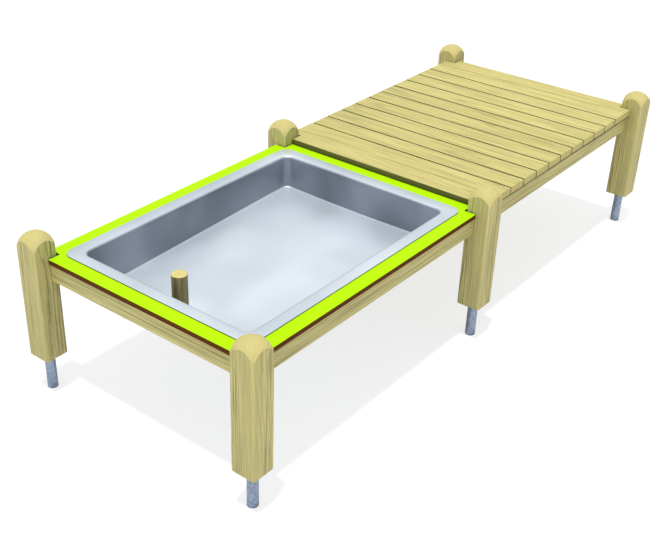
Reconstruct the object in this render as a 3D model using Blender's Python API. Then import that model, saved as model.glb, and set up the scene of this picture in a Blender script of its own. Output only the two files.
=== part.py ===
"""Sand and water table: a steel play basin in a coloured panel, joined to a slatted timber deck.

Metres, +Z up. +X runs along the table from the basin end to the deck end, +Y to its back.
"""
import math

import bmesh
import bpy
from mathutils import Matrix, Vector

# ---- frame -----------------------------------------------------------------
BAY_LENGTH = 1.273          # post centre to post centre along X, two equal bays
TABLE_WIDTH = 0.954         # post centre to post centre along Y
GAP = 0.0003                # air left between pieces that touch
CUT_OVER = 0.001            # how far a cutter passes the face it opens
POST_SIDE = 0.095
POST_EDGE_R = 0.010
POST_BOTTOM = 0.143
POST_TOP = 0.6234
DOME_R = 0.0649             # sphere that rounds the top of each post
POST_FOOT_CHAMFER = 0.002
FLAT_STEPS = 4              # outline steps along each flat of a post
EDGE_STEPS = 3              # outline steps round each edge of a post
DOME_RINGS = (0.84, 0.60, 0.30)

BASIN_RAIL_TOP = 0.5162     # rails under the panel, and the cross rail in the middle
DECK_RAIL_TOP = 0.5217
RAIL_HEIGHT = 0.070
RAIL_THICK = 0.034
RAIL_INSET = 0.0135         # rail outer face to post centre plane
ARRIS_R = 0.003             # rounded edge of planed timber
BATTEN_ARRIS_R = 0.0018
TENON_THICK = 0.014
TENON_HEIGHT = 0.022
TENON_LENGTH = 0.028
SIDE_TENON_Z = 0.501        # centre height of the tenons on rails along X
CROSS_TENON_Z = 0.473       # centre height of the tenons on rails along Y

# ---- ground anchors ----------------------------------------------------------
TUBE_R = 0.019
TUBE_WALL = 0.003
TUBE_EMBED = 0.150
ANCHOR_SCREW_Z = 0.218
ANCHOR_SCREW_R = 0.004
ANCHOR_SCREW_TIP = 0.012
ANCHOR_HEAD_R = 0.0075
ANCHOR_HEAD_H = 0.0055
ANCHOR_TIP_LENGTH = 0.003
RECESS_R = 0.0125
RECESS_DEPTH = 0.010
TUBE_STEPS = 18

# ---- panel and basin -----------------------------------------------------------
PANEL_THICK = 0.0185
PANEL_INSET = 0.005
PANEL_TO_DECK = 0.0055      # open joint between the panel and the first board
PANEL_NOTCH = 0.0532        # notch edge to post centre plane
PANEL_CHAMFER = 0.0007
CUTOUT_INSET = 0.092
CUTOUT_R = 0.045
RIM_TOP = 0.5386
RIM_INSET = 0.0574
RIM_R = 0.040
RIM_LIP = 0.0033
RIM_EDGE = 0.0008           # rounded top edge of the rim
STEEL_THICK = 0.002
BEND_R = 0.013
WALL_INSET = 0.110
WALL_R = 0.030
FLOOR_FILLET = 0.005
FLOOR_FALL = 0.0328         # slope of the floor towards the drain
FLOOR_DISH = 0.007          # rise from the middle line to the long walls
FLOOR_Z = 0.369             # floor height at the drain
DRAIN_FROM_POST = 0.1896
DRAIN_HOLE_R = 0.0265
DRAIN_FLAT_R = 0.047
CORNER_STEPS = 4
SIDE_STEPS = 4
GASKET_INSET = 0.0605
GASKET_WIDTH = 0.011
STUD_INSET = 0.0815
STUD_FROM_CORNER = 0.240
STUD_R = 0.003
STUD_LENGTH = 0.031
NUT_R = 0.0055
NUT_H = 0.005
NUT_FLANGE_R = 0.0075
NUT_FLANGE_T = 0.0012

# ---- drain and plug ------------------------------------------------------------
FITTING_FLANGE_R = 0.036
FITTING_FLANGE_T = 0.0022
FITTING_R = 0.024
THROAT_TOP_R = 0.0226
THROAT_R = 0.0195
THROAT_DEPTH = 0.022
FITTING_BOTTOM = 0.314
SEAL_R = 0.034
SEAL_T = 0.003
LOCKNUT_R = 0.034
LOCKNUT_H = 0.010
PLUG_R = 0.027
PLUG_TOP = 0.5634
PLUG_ROUND = 0.0025
STOPPER_H = 0.020
STOPPER_TOP_R = 0.0222
STOPPER_END_R = 0.0196
STOPPER_CLEAR = 0.0006      # air between the stopper and the drain's throat
STOPPER_HEAD_R = 0.0075     # pocket that takes the screw head
STOPPER_HEAD_ROOM = 0.004
PLUG_SCREW_R = 0.003
PLUG_SCREW_LENGTH = 0.055
PLUG_HEAD_R = 0.0065
PLUG_HEAD_H = 0.003
PLUG_STEPS = 28
DRAIN_STEPS = 24

# ---- deck ----------------------------------------------------------------------
BOARD_WIDTH = 0.095
BOARD_GAP = 0.0035
BOARD_THICK = 0.033
BOARD_LENGTH = 0.950
BOARD_ARRIS = 0.0025
END_BOARD_WIDTH = 2.0 * BOARD_WIDTH
DECK_START = -0.0005
DECK_NOTCH = 0.0512         # notch edge to post centre plane
GLUE_LINE_W = 0.0012
GLUE_LINE_DEPTH = 0.0008
PLAIN_BOARDS = 9

# ---- battens and their screws ------------------------------------------------------
BATTEN_THICK = 0.022
BATTEN_HEIGHT = 0.040
BATTEN_END_GAP = 0.030      # batten end to the cross rail it points at
SCREW_R = 0.0024
SCREW_CLEAR = 0.0003
SCREW_HEAD_R = 0.0050
SCREW_HEAD_H = 0.0036
SCREW_TIP = 0.004
SCREW_BITE = 0.024

HALF_W = TABLE_WIDTH / 2.0
HALF_POST = POST_SIDE / 2.0
BASIN_LEFT = -BAY_LENGTH
DRAIN_X = BASIN_LEFT + DRAIN_FROM_POST
PANEL_Z = BASIN_RAIL_TOP + GAP
PANEL_TOP = PANEL_Z + PANEL_THICK
BOARD_Z = DECK_RAIL_TOP + GAP
POST_X = (-BAY_LENGTH, 0.0, BAY_LENGTH)
# posts are numbered round the table from the back corner of the basin end
POSTS = {1: (0, 1), 2: (0, -1), 3: (1, -1), 4: (1, 1), 5: (2, 1), 6: (2, -1)}

WOOD = ("pine", (0.72, 0.62, 0.30), 0.62, 0.0)
DECK_WOOD = ("deck_pine", (0.80, 0.70, 0.38), 0.60, 0.0)
PANEL_GREEN = ("lime_panel", (0.52, 1.00, 0.0), 0.30, 0.0)
STEEL = ("satin_steel", (0.62, 0.66, 0.72), 0.28, 1.0)
ZINC = ("galvanised_steel", (0.50, 0.55, 0.63), 0.45, 1.0)
RUBBER = ("black_rubber", (0.03, 0.03, 0.03), 0.70, 0.0)
BRASS = ("brass", (0.72, 0.55, 0.25), 0.35, 1.0)


# ---- helpers -------------------------------------------------------------------
def clear_scene():
    for obj in list(bpy.data.objects):
        bpy.data.objects.remove(obj, do_unlink=True)


def material(spec):
    name, colour, roughness, metallic = spec
    found = bpy.data.materials.get(name)
    if found:
        return found
    made = bpy.data.materials.new(name)
    made.use_nodes = True
    shader = made.node_tree.nodes["Principled BSDF"]
    shader.inputs["Base Color"].default_value = (*colour, 1.0)
    shader.inputs["Roughness"].default_value = roughness
    shader.inputs["Metallic"].default_value = metallic
    return made


def make_object(name, bm, spec, smooth_degrees=None, origin=None):
    """Turn a bmesh into a named object; faces meeting below the angle shade smooth."""
    bmesh.ops.recalc_face_normals(bm, faces=bm.faces)
    mesh = bpy.data.meshes.new(name)
    if smooth_degrees is not None:
        limit = math.radians(smooth_degrees)
        for face in bm.faces:
            face.smooth = True
        for edge in bm.edges:
            edge.smooth = edge.calc_face_angle(math.pi) < limit
    if origin is not None:
        bmesh.ops.translate(bm, verts=bm.verts, vec=-Vector(origin))
    bm.to_mesh(mesh)
    bm.free()
    mesh.materials.append(material(spec))
    obj = bpy.data.objects.new(name, mesh)
    bpy.context.collection.objects.link(obj)
    if origin is not None:
        obj.location = origin
    return obj


def skin(bm, rings, loop=False, cap=True):
    """Join closed rings of equal length; cap the ends, or close the chain on itself."""
    rows = [[bm.verts.new(co) for co in ring] for ring in rings]
    count = len(rows[0])
    pairs = list(zip(rows, rows[1:]))
    if loop:
        pairs.append((rows[-1], rows[0]))
    for low, high in pairs:
        for i in range(count):
            j = (i + 1) % count
            bm.faces.new((low[i], low[j], high[j], high[i]))
    if cap and not loop:
        bm.faces.new(list(reversed(rows[0])))
        bm.faces.new(rows[-1])


def arc(cx, cy, radius, start, end, steps):
    points = []
    for k in range(steps + 1):
        a = math.radians(start + (end - start) * k / steps)
        points.append((cx + radius * math.cos(a), cy + radius * math.sin(a)))
    return points


def rounded_outline(x0, x1, y0, y1, radius, corner_steps, side_steps=1):
    """Counter-clockwise rounded rectangle with extra points along its straight sides."""
    corners = (
        arc(x1 - radius, y1 - radius, radius, 0, 90, corner_steps),
        arc(x0 + radius, y1 - radius, radius, 90, 180, corner_steps),
        arc(x0 + radius, y0 + radius, radius, 180, 270, corner_steps),
        arc(x1 - radius, y0 + radius, radius, 270, 360, corner_steps),
    )
    points = []
    for k, corner in enumerate(corners):
        following = corners[(k + 1) % 4]
        points.extend(corner)
        (ax, ay), (bx, by) = corner[-1], following[0]
        for s in range(1, side_steps):
            t = s / side_steps
            points.append((ax + (bx - ax) * t, ay + (by - ay) * t))
    return points


def offset_outline(points, distance):
    """Move every edge of a counter-clockwise polygon inwards by a distance, with mitred corners."""
    moved = []
    count = len(points)
    for i in range(count):
        before = Vector(points[i - 1])
        here = Vector(points[i])
        after = Vector(points[(i + 1) % count])
        d1 = (here - before).normalized()
        d2 = (after - here).normalized()
        n1 = Vector((-d1.y, d1.x))
        n2 = Vector((-d2.y, d2.x))
        mitre = (n1 + n2) / (1.0 + n1.dot(n2))
        moved.append(tuple(here + mitre * distance))
    return moved


def at_height(outline, z):
    return [(x, y, z) for x, y in outline]


def prism(bm, outline, z0, z1, chamfer=0.0):
    if chamfer:
        inner = offset_outline(outline, chamfer)
        skin(bm, [at_height(inner, z0), at_height(outline, z0 + chamfer),
                  at_height(outline, z1 - chamfer), at_height(inner, z1)])
    else:
        skin(bm, [at_height(outline, z0), at_height(outline, z1)])


def box(bm, x0, x1, y0, y1, z0, z1):
    prism(bm, [(x0, y0), (x1, y0), (x1, y1), (x0, y1)], z0, z1)


def lathe(bm, profile, steps, matrix=None, loop=False):
    """Revolve (radius, height) points about Z; a loop profile makes a ring with a bore."""
    rings = []
    for radius, z in profile:
        ring = []
        for k in range(steps):
            a = 2.0 * math.pi * k / steps
            co = Vector((radius * math.cos(a), radius * math.sin(a), z))
            ring.append(matrix @ co if matrix else co)
        rings.append(ring)
    skin(bm, rings, loop=loop)


def towards(origin, direction):
    """Matrix that stands local +Z along a direction at a point."""
    turn = Vector((0, 0, 1)).rotation_difference(Vector(direction)).to_matrix().to_4x4()
    return Matrix.Translation(Vector(origin)) @ turn


def cut(obj, cutters, operation="DIFFERENCE"):
    """Combine bmesh tools with an object, one exact Boolean each, and keep the result."""
    made = []
    for index, bm in enumerate(cutters):
        bmesh.ops.recalc_face_normals(bm, faces=bm.faces)
        mesh = bpy.data.meshes.new("cutter")
        bm.to_mesh(mesh)
        bm.free()
        tool = bpy.data.objects.new("cutter_%d" % index, mesh)
        bpy.context.collection.objects.link(tool)
        made.append(tool)
        step = obj.modifiers.new("cut_%d" % index, "BOOLEAN")
        step.operation = operation
        step.solver = "EXACT"
        step.object = tool
    bpy.context.view_layer.update()
    graph = bpy.context.evaluated_depsgraph_get()
    result = bpy.data.meshes.new_from_object(obj.evaluated_get(graph))
    old = obj.data
    obj.modifiers.clear()
    obj.data = result
    bpy.data.meshes.remove(old)
    result.name = obj.name
    for tool in made:
        mesh = tool.data
        bpy.data.objects.remove(tool, do_unlink=True)
        bpy.data.meshes.remove(mesh)


# ---- battens and screws ----------------------------------------------------------
def batten_face(side):
    """Y of the batten face that lies on the side rail."""
    return side * (HALF_W - HALF_POST - GAP)


def batten_spans():
    """Battens as name to (x0, x1, side, top): two under the panel, two under the deck."""
    end = BAY_LENGTH - HALF_POST - BATTEN_END_GAP
    middle = RAIL_THICK / 2.0 + BATTEN_END_GAP
    return {
        "panel_batten_front": (-end, -middle, -1, BASIN_RAIL_TOP),
        "panel_batten_back": (-end, -middle, 1, BASIN_RAIL_TOP),
        "deck_batten_front": (middle, end, -1, DECK_RAIL_TOP),
        "deck_batten_back": (middle, end, 1, DECK_RAIL_TOP),
    }


def batten_screw(span):
    """Seat under the head and direction of the screw at the middle of a batten."""
    x0, x1, side, top = span
    face = batten_face(side) - side * BATTEN_THICK
    return ((x0 + x1) / 2.0, face, top - BATTEN_HEIGHT / 2.0), (0, side, 0)


def screw_bore(span):
    """Cutter for the clearance bore of a batten screw, open at the head end."""
    seat, direction = batten_screw(span)
    radius = SCREW_R + SCREW_CLEAR
    bm = bmesh.new()
    lathe(bm, ((radius, -CUT_OVER), (radius, BATTEN_THICK + SCREW_BITE + SCREW_CLEAR)), 8,
          towards(seat, direction))
    return bm


def board_spans():
    """Boards in order along X: (x0, x1, wide)."""
    spans = []
    x = DECK_START
    widths = [END_BOARD_WIDTH] + [BOARD_WIDTH] * PLAIN_BOARDS + [END_BOARD_WIDTH]
    for width in widths:
        spans.append((x, x + width, width > BOARD_WIDTH))
        x += width + BOARD_GAP
    return spans


# ---- posts and anchors --------------------------------------------------------------
def dome_height(radius):
    centre = POST_TOP - DOME_R
    return centre + math.sqrt(max(DOME_R ** 2 - radius ** 2, 0.0))


def mortise_boxes(column, side):
    """Boxes cut in a post for the rail tenons: (x0, x1, y0, y1, z0, z1)."""
    px = POST_X[column]
    py = side * HALF_W
    half_t = TENON_THICK / 2.0 + GAP
    half_h = TENON_HEIGHT / 2.0 + GAP
    deep = HALF_POST - TENON_LENGTH - 2.0 * GAP
    out = HALF_POST + 0.005
    offset = RAIL_INSET + RAIL_THICK / 2.0
    boxes = []
    ways = {0: (1,), 1: (-1, 1), 2: (-1,)}[column]
    for way in ways:
        xs = sorted((px + way * deep, px + way * out))
        cy = py - side * offset
        boxes.append((*xs, cy - half_t, cy + half_t, SIDE_TENON_Z - half_h, SIDE_TENON_Z + half_h))
    cx = px if column == 1 else px + ways[0] * offset
    ys = sorted((py - side * deep, py - side * out))
    boxes.append((cx - half_t, cx + half_t, *ys, CROSS_TENON_Z - half_h, CROSS_TENON_Z + half_h))
    return boxes


def make_post(number):
    column, side = POSTS[number]
    px = POST_X[column]
    py = side * HALF_W
    outline = rounded_outline(-HALF_POST, HALF_POST, -HALF_POST, HALF_POST, POST_EDGE_R,
                              EDGE_STEPS, FLAT_STEPS)
    foot = offset_outline(outline, POST_FOOT_CHAMFER)
    rings = [[(px + x, py + y, POST_BOTTOM) for x, y in foot],
             [(px + x, py + y, POST_BOTTOM + POST_FOOT_CHAMFER) for x, y in outline]]
    for scale in (1.0,) + DOME_RINGS:
        rings.append([(px + x * scale, py + y * scale, dome_height(math.hypot(x, y) * scale))
                      for x, y in outline])
    bm = bmesh.new()
    skin(bm, rings, cap=False)
    bm.verts.ensure_lookup_table()
    count = len(outline)
    bm.faces.new(list(reversed(bm.verts[:count])))
    crown = bm.verts.new((px, py, POST_TOP))
    last = bm.verts[-count - 1:-1]
    for i in range(count):
        bm.faces.new((last[i], last[(i + 1) % count], crown))
    post = make_object("post_%d" % number, bm, WOOD)

    cutters = []
    socket = bmesh.new()
    lathe(socket, ((TUBE_R + GAP, POST_BOTTOM - 0.01), (TUBE_R + GAP, POST_BOTTOM + TUBE_EMBED + GAP)),
          TUBE_STEPS, Matrix.Translation((px, py, 0.0)))
    cutters.append(socket)
    entry = bmesh.new()
    lathe(entry, ((RECESS_R, 0.005), (RECESS_R, -RECESS_DEPTH),
                  (ANCHOR_SCREW_R + GAP, -RECESS_DEPTH),
                  (ANCHOR_SCREW_R + GAP, -(HALF_POST - TUBE_R + 0.002))),
          12, towards((px + HALF_POST, py, ANCHOR_SCREW_Z), (1, 0, 0)))
    cutters.append(entry)
    for bounds in mortise_boxes(column, side):
        pocket = bmesh.new()
        box(pocket, *bounds)
        cutters.append(pocket)
    cut(post, cutters)
    shade_by_angle(post, 28.0)


def shade_by_angle(obj, degrees):
    """Shade an object smooth, with every edge above the angle kept sharp."""
    bm = bmesh.new()
    bm.from_mesh(obj.data)
    limit = math.radians(degrees)
    for face in bm.faces:
        face.smooth = True
    for edge in bm.edges:
        edge.smooth = len(edge.link_faces) == 2 and edge.calc_face_angle(math.pi) < limit
    bm.to_mesh(obj.data)
    bm.free()


def make_anchor(number):
    column, side = POSTS[number]
    px = POST_X[column]
    py = side * HALF_W
    bm = bmesh.new()
    top = POST_BOTTOM + TUBE_EMBED
    inner = TUBE_R - TUBE_WALL
    lathe(bm, ((TUBE_R, 0.0), (TUBE_R, top), (inner, top), (inner, 0.0)), TUBE_STEPS,
          Matrix.Translation((px, py, 0.0)), loop=True)
    tube = make_object("anchor_tube_%d" % number, bm, ZINC)
    hole = bmesh.new()
    lathe(hole, ((ANCHOR_SCREW_R + GAP, 0.008), (ANCHOR_SCREW_R + GAP, TUBE_R + 0.004)), 8,
          towards((px, py, ANCHOR_SCREW_Z), (1, 0, 0)))
    cut(tube, [hole])
    shade_by_angle(tube, 40.0)


def make_anchor_screw(number):
    column, side = POSTS[number]
    seat = (POST_X[column] + HALF_POST - RECESS_DEPTH, side * HALF_W, ANCHOR_SCREW_Z)
    tip = ANCHOR_SCREW_TIP - (HALF_POST - RECESS_DEPTH)
    profile = (
        (ANCHOR_SCREW_R * 0.5, tip), (ANCHOR_SCREW_R, tip + ANCHOR_TIP_LENGTH),
        (ANCHOR_SCREW_R, GAP),
        (ANCHOR_HEAD_R, GAP), (ANCHOR_HEAD_R, GAP + ANCHOR_HEAD_H),
    )
    bm = bmesh.new()
    lathe(bm, profile, 6, towards(seat, (1, 0, 0)))
    make_object("anchor_screw_%d" % number, bm, ZINC)


# ---- rails and battens -----------------------------------------------------------------
def timber(bm, along, start, end, centre, centre_z, width, height, radius):
    """A planed length of timber with rounded arrises; along is 'x' or 'y'."""
    section = rounded_outline(-width / 2.0, width / 2.0, -height / 2.0, height / 2.0, radius, 2)
    rings = []
    for s in (start, end):
        if along == "x":
            rings.append([(s, centre + u, centre_z + v) for u, v in section])
        else:
            rings.append([(centre + u, s, centre_z + v) for u, v in section])
    skin(bm, rings)


def make_rail(name, along, start, end, centre, top, tenon_z, batten_span=None):
    """A rail with a stub tenon at each end, bored for the screw of the batten along it."""
    middle_z = top - RAIL_HEIGHT / 2.0
    bm = bmesh.new()
    timber(bm, along, start, end, centre, middle_z, RAIL_THICK, RAIL_HEIGHT, ARRIS_R)
    rail = make_object(name, bm, WOOD)
    shoulders = []
    half_t = TENON_THICK / 2.0
    half_h = TENON_HEIGHT / 2.0
    low_z = top - RAIL_HEIGHT - CUT_OVER
    high_z = top + CUT_OVER
    reach = RAIL_THICK / 2.0 + CUT_OVER
    cheek = half_t + CUT_OVER
    blocks = (
        (-reach, -half_t, low_z, high_z),
        (half_t, reach, low_z, high_z),
        (-cheek, cheek, low_z, tenon_z - half_h),
        (-cheek, cheek, tenon_z + half_h, high_z),
    )
    for a, b in ((start - CUT_OVER, start + TENON_LENGTH), (end - TENON_LENGTH, end + CUT_OVER)):
        for u0, u1, z0, z1 in blocks:
            pocket = bmesh.new()
            if along == "x":
                box(pocket, a, b, centre + u0, centre + u1, z0, z1)
            else:
                box(pocket, centre + u0, centre + u1, a, b, z0, z1)
            shoulders.append(pocket)
    if batten_span:
        shoulders.append(screw_bore(batten_span))
    cut(rail, shoulders)
    shade_by_angle(rail, 40.0)


def make_rails():
    side_y = HALF_W - RAIL_INSET - RAIL_THICK / 2.0
    end_x = BAY_LENGTH - RAIL_INSET - RAIL_THICK / 2.0
    reach = HALF_POST - TENON_LENGTH
    for bay, under, x0, top in (("basin", "panel", -BAY_LENGTH, BASIN_RAIL_TOP),
                                ("deck", "deck", 0.0, DECK_RAIL_TOP)):
        for side, word in ((-1, "front"), (1, "back")):
            make_rail("side_rail_%s_%s" % (bay, word), "x", x0 + reach + GAP,
                      x0 + BAY_LENGTH - reach - GAP, side * side_y, top, SIDE_TENON_Z,
                      batten_spans()["%s_batten_%s" % (under, word)])
    half = HALF_W - reach - GAP
    make_rail("end_rail_basin", "y", -half, half, -end_x, BASIN_RAIL_TOP, CROSS_TENON_Z)
    make_rail("cross_rail_middle", "y", -half, half, 0.0, BASIN_RAIL_TOP, CROSS_TENON_Z)
    make_rail("end_rail_deck", "y", -half, half, end_x, DECK_RAIL_TOP, CROSS_TENON_Z)


def make_battens():
    for name, span in batten_spans().items():
        x0, x1, side, top = span
        centre = batten_face(side) - side * BATTEN_THICK / 2.0
        bm = bmesh.new()
        timber(bm, "x", x0, x1, centre, top - BATTEN_HEIGHT / 2.0, BATTEN_THICK,
               BATTEN_HEIGHT, BATTEN_ARRIS_R)
        batten = make_object(name, bm, WOOD)
        cut(batten, [screw_bore(span)])
        shade_by_angle(batten, 40.0)

        profile = (
            (SCREW_HEAD_R, -GAP - SCREW_HEAD_H), (SCREW_HEAD_R, -GAP), (SCREW_R, -GAP),
            (SCREW_R, BATTEN_THICK + SCREW_BITE - SCREW_TIP),
            (SCREW_R * 0.3, BATTEN_THICK + SCREW_BITE),
        )
        bm = bmesh.new()
        lathe(bm, profile, 6, towards(*batten_screw(span)))
        make_object(name.replace("batten", "batten_screw"), bm, ZINC)


# ---- panel, basin and fixings --------------------------------------------------------------
def notched_outline(x0, x1, half_y, notch_x0, notch_x1, notch_y):
    """Counter-clockwise rectangle with a square notch at each corner."""
    return [(notch_x0, half_y), (notch_x0, notch_y), (x0, notch_y),
            (x0, -notch_y), (notch_x0, -notch_y), (notch_x0, -half_y),
            (notch_x1, -half_y), (notch_x1, -notch_y), (x1, -notch_y),
            (x1, notch_y), (notch_x1, notch_y), (notch_x1, half_y)]


def stud_places():
    """Weld studs under the rim, two along each long side and one at the middle of each end."""
    left = BASIN_LEFT + STUD_INSET
    right = -STUD_INSET
    half = HALF_W - STUD_INSET
    places = [(left, 0.0), (right, 0.0)]
    for side in (-1, 1):
        for x in (left + STUD_FROM_CORNER, right - STUD_FROM_CORNER):
            places.append((x, side * half))
    return places


def make_panel():
    x0 = BASIN_LEFT + PANEL_INSET
    x1 = DECK_START - PANEL_TO_DECK
    outline = notched_outline(x0, x1, HALF_W - PANEL_INSET, BASIN_LEFT + PANEL_NOTCH, -PANEL_NOTCH,
                              HALF_W - PANEL_NOTCH)
    bm = bmesh.new()
    prism(bm, outline, PANEL_Z, PANEL_TOP, PANEL_CHAMFER)
    panel = make_object("table_panel", bm, PANEL_GREEN)
    opening = bmesh.new()
    prism(opening, rounded_outline(BASIN_LEFT + CUTOUT_INSET, -CUTOUT_INSET, -HALF_W + CUTOUT_INSET,
                                   HALF_W - CUTOUT_INSET, CUTOUT_R, CORNER_STEPS),
          PANEL_Z - 0.005, PANEL_TOP + 0.005)
    holes = bmesh.new()
    for x, y in stud_places():
        lathe(holes, ((STUD_R + GAP, PANEL_Z - 0.005), (STUD_R + GAP, PANEL_TOP + 0.005)), 6,
              Matrix.Translation((x, y, 0.0)))
    cut(panel, [opening, holes])


def floor_height(x, y):
    """Basin floor: falls to the drain along X, lifts a little to the long walls."""
    return (FLOOR_Z + FLOOR_FALL * abs(x - DRAIN_X)
            + FLOOR_DISH * (y / (HALF_W - WALL_INSET)) ** 2)


def basin_outline(inset, radius):
    return rounded_outline(BASIN_LEFT + inset, -inset, -HALF_W + inset, HALF_W - inset, radius,
                           CORNER_STEPS, SIDE_STEPS)


def bend(inset, radius, corner, centre_z, angle):
    """One ring round the bend between rim and wall, angle 0 at the rim and 90 at the wall."""
    a = math.radians(angle)
    spread = radius * math.sin(a)
    return at_height(basin_outline(inset + spread, corner - spread), centre_z + radius * math.cos(a))


def basin_surface(drop):
    """Rings of one face of the basin below the rim; drop 0 is the face that holds the water."""
    radius = BEND_R - drop
    inset = WALL_INSET - BEND_R
    centre_z = RIM_TOP - BEND_R
    corner = WALL_R + BEND_R
    rings = [bend(inset, radius, corner, centre_z, a) for a in (0, 30, 60, 90)]
    wall = WALL_INSET - drop
    wall_corner = WALL_R + drop
    for a in (0, 45, 90):
        turn = math.radians(a)
        inward = FLOOR_FILLET * (1.0 - math.cos(turn))
        lift = FLOOR_FILLET * (1.0 - math.sin(turn))
        outline = basin_outline(wall + inward, wall_corner - inward)
        rings.append([(x, y, floor_height(x, y) + lift - drop) for x, y in outline])
    outer = basin_outline(wall + FLOOR_FILLET, wall_corner - FLOOR_FILLET)
    for part in (0.4, 0.75):
        ring = []
        for x, y in outer:
            away = Vector((x - DRAIN_X, y))
            edge = away.normalized() * DRAIN_FLAT_R
            spot = away.lerp(edge, part)
            px, py = DRAIN_X + spot.x, spot.y
            ring.append((px, py, floor_height(px, py) - drop))
        rings.append(ring)
    seat = []
    for x, y in outer:
        edge = Vector((x - DRAIN_X, y)).normalized() * DRAIN_FLAT_R
        seat.append((DRAIN_X + edge.x, edge.y, FLOOR_Z - drop))
    rings.append(seat)
    return rings


def make_basin():
    bm = bmesh.new()
    edge = RIM_TOP - RIM_EDGE
    lip = RIM_TOP - RIM_LIP
    under = RIM_TOP - STEEL_THICK
    lip_ring = basin_outline(RIM_INSET + STEEL_THICK, RIM_R - STEEL_THICK)
    rings = list(reversed(basin_surface(0.0)))
    rings += [
        at_height(basin_outline(RIM_INSET + RIM_EDGE, RIM_R - RIM_EDGE), RIM_TOP),
        at_height(basin_outline(RIM_INSET, RIM_R), edge),
        at_height(basin_outline(RIM_INSET, RIM_R), lip),
        at_height(lip_ring, lip),
        at_height(lip_ring, under),
    ]
    rings += basin_surface(STEEL_THICK)
    skin(bm, rings)
    basin = make_object("basin", bm, STEEL)
    studs = bmesh.new()
    top = RIM_TOP - STEEL_THICK / 2.0
    for x, y in stud_places():
        lathe(studs, ((STUD_R * 0.8, top - STUD_LENGTH), (STUD_R, top - STUD_LENGTH + 0.001),
                      (STUD_R, top)), 6, Matrix.Translation((x, y, 0.0)))
    cut(basin, [studs], "UNION")
    hole = bmesh.new()
    lathe(hole, ((DRAIN_HOLE_R, -0.01), (DRAIN_HOLE_R, 0.01)), DRAIN_STEPS,
          Matrix.Translation((DRAIN_X, 0.0, FLOOR_Z)))
    cut(basin, [hole])
    shade_by_angle(basin, 42.0)


def make_basin_fixings():
    gasket = bmesh.new()
    top = RIM_TOP - STEEL_THICK - GAP
    low = PANEL_TOP + GAP
    outer = basin_outline(GASKET_INSET, RIM_R - 0.004)
    inner = basin_outline(GASKET_INSET + GASKET_WIDTH, RIM_R - 0.004)
    skin(gasket, [at_height(outer, low), at_height(outer, top), at_height(inner, top),
                  at_height(inner, low)], loop=True)
    make_object("basin_gasket", gasket, RUBBER)

    seat = PANEL_Z - GAP
    skirt = seat - NUT_FLANGE_T
    bore = STUD_R + GAP
    for number, (x, y) in enumerate(stud_places(), start=1):
        nut = bmesh.new()
        lathe(nut, ((bore, skirt - NUT_H), (NUT_R, skirt - NUT_H), (NUT_R, skirt),
                    (NUT_FLANGE_R, skirt), (NUT_FLANGE_R, seat), (bore, seat)), 6,
              Matrix.Translation((x, y, 0.0)), loop=True)
        make_object("basin_nut_%d" % number, nut, ZINC)


# ---- drain and plug ------------------------------------------------------------------------
def make_drain():
    place = Matrix.Translation((DRAIN_X, 0.0, 0.0))
    seat = FLOOR_Z + GAP
    top = seat + FITTING_FLANGE_T
    profile = (
        (FITTING_FLANGE_R, seat),
        (FITTING_FLANGE_R - 0.001, top),
        (THROAT_TOP_R + 0.0015, top),
        (THROAT_TOP_R, top - 0.0015),
        (THROAT_R, top - THROAT_DEPTH),
        (THROAT_R, FITTING_BOTTOM),
        (FITTING_R - 0.001, FITTING_BOTTOM),
        (FITTING_R, FITTING_BOTTOM + 0.001),
        (FITTING_R, seat),
    )
    bm = bmesh.new()
    lathe(bm, profile, DRAIN_STEPS, place, loop=True)
    make_object("drain_fitting", bm, BRASS, smooth_degrees=40.0)

    under = FLOOR_Z - STEEL_THICK - GAP
    bore = FITTING_R + GAP
    bm = bmesh.new()
    lathe(bm, ((SEAL_R, under - SEAL_T), (SEAL_R, under), (bore, under), (bore, under - SEAL_T)),
          DRAIN_STEPS, place, loop=True)
    make_object("drain_seal", bm, RUBBER, smooth_degrees=40.0)

    high = under - SEAL_T - GAP
    low = high - LOCKNUT_H
    bm = bmesh.new()
    outer = []
    inner = []
    for k in range(DRAIN_STEPS):
        a = 2.0 * math.pi * k / DRAIN_STEPS
        turned = (a % (math.pi / 3.0)) - math.pi / 6.0
        reach = LOCKNUT_R * math.cos(math.pi / 6.0) / math.cos(turned)
        outer.append((DRAIN_X + reach * math.cos(a), reach * math.sin(a)))
        inner.append((DRAIN_X + bore * math.cos(a), bore * math.sin(a)))
    skin(bm, [at_height(outer, low), at_height(outer, high), at_height(inner, high),
              at_height(inner, low)], loop=True)
    make_object("drain_locknut", bm, BRASS, smooth_degrees=25.0)


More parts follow.
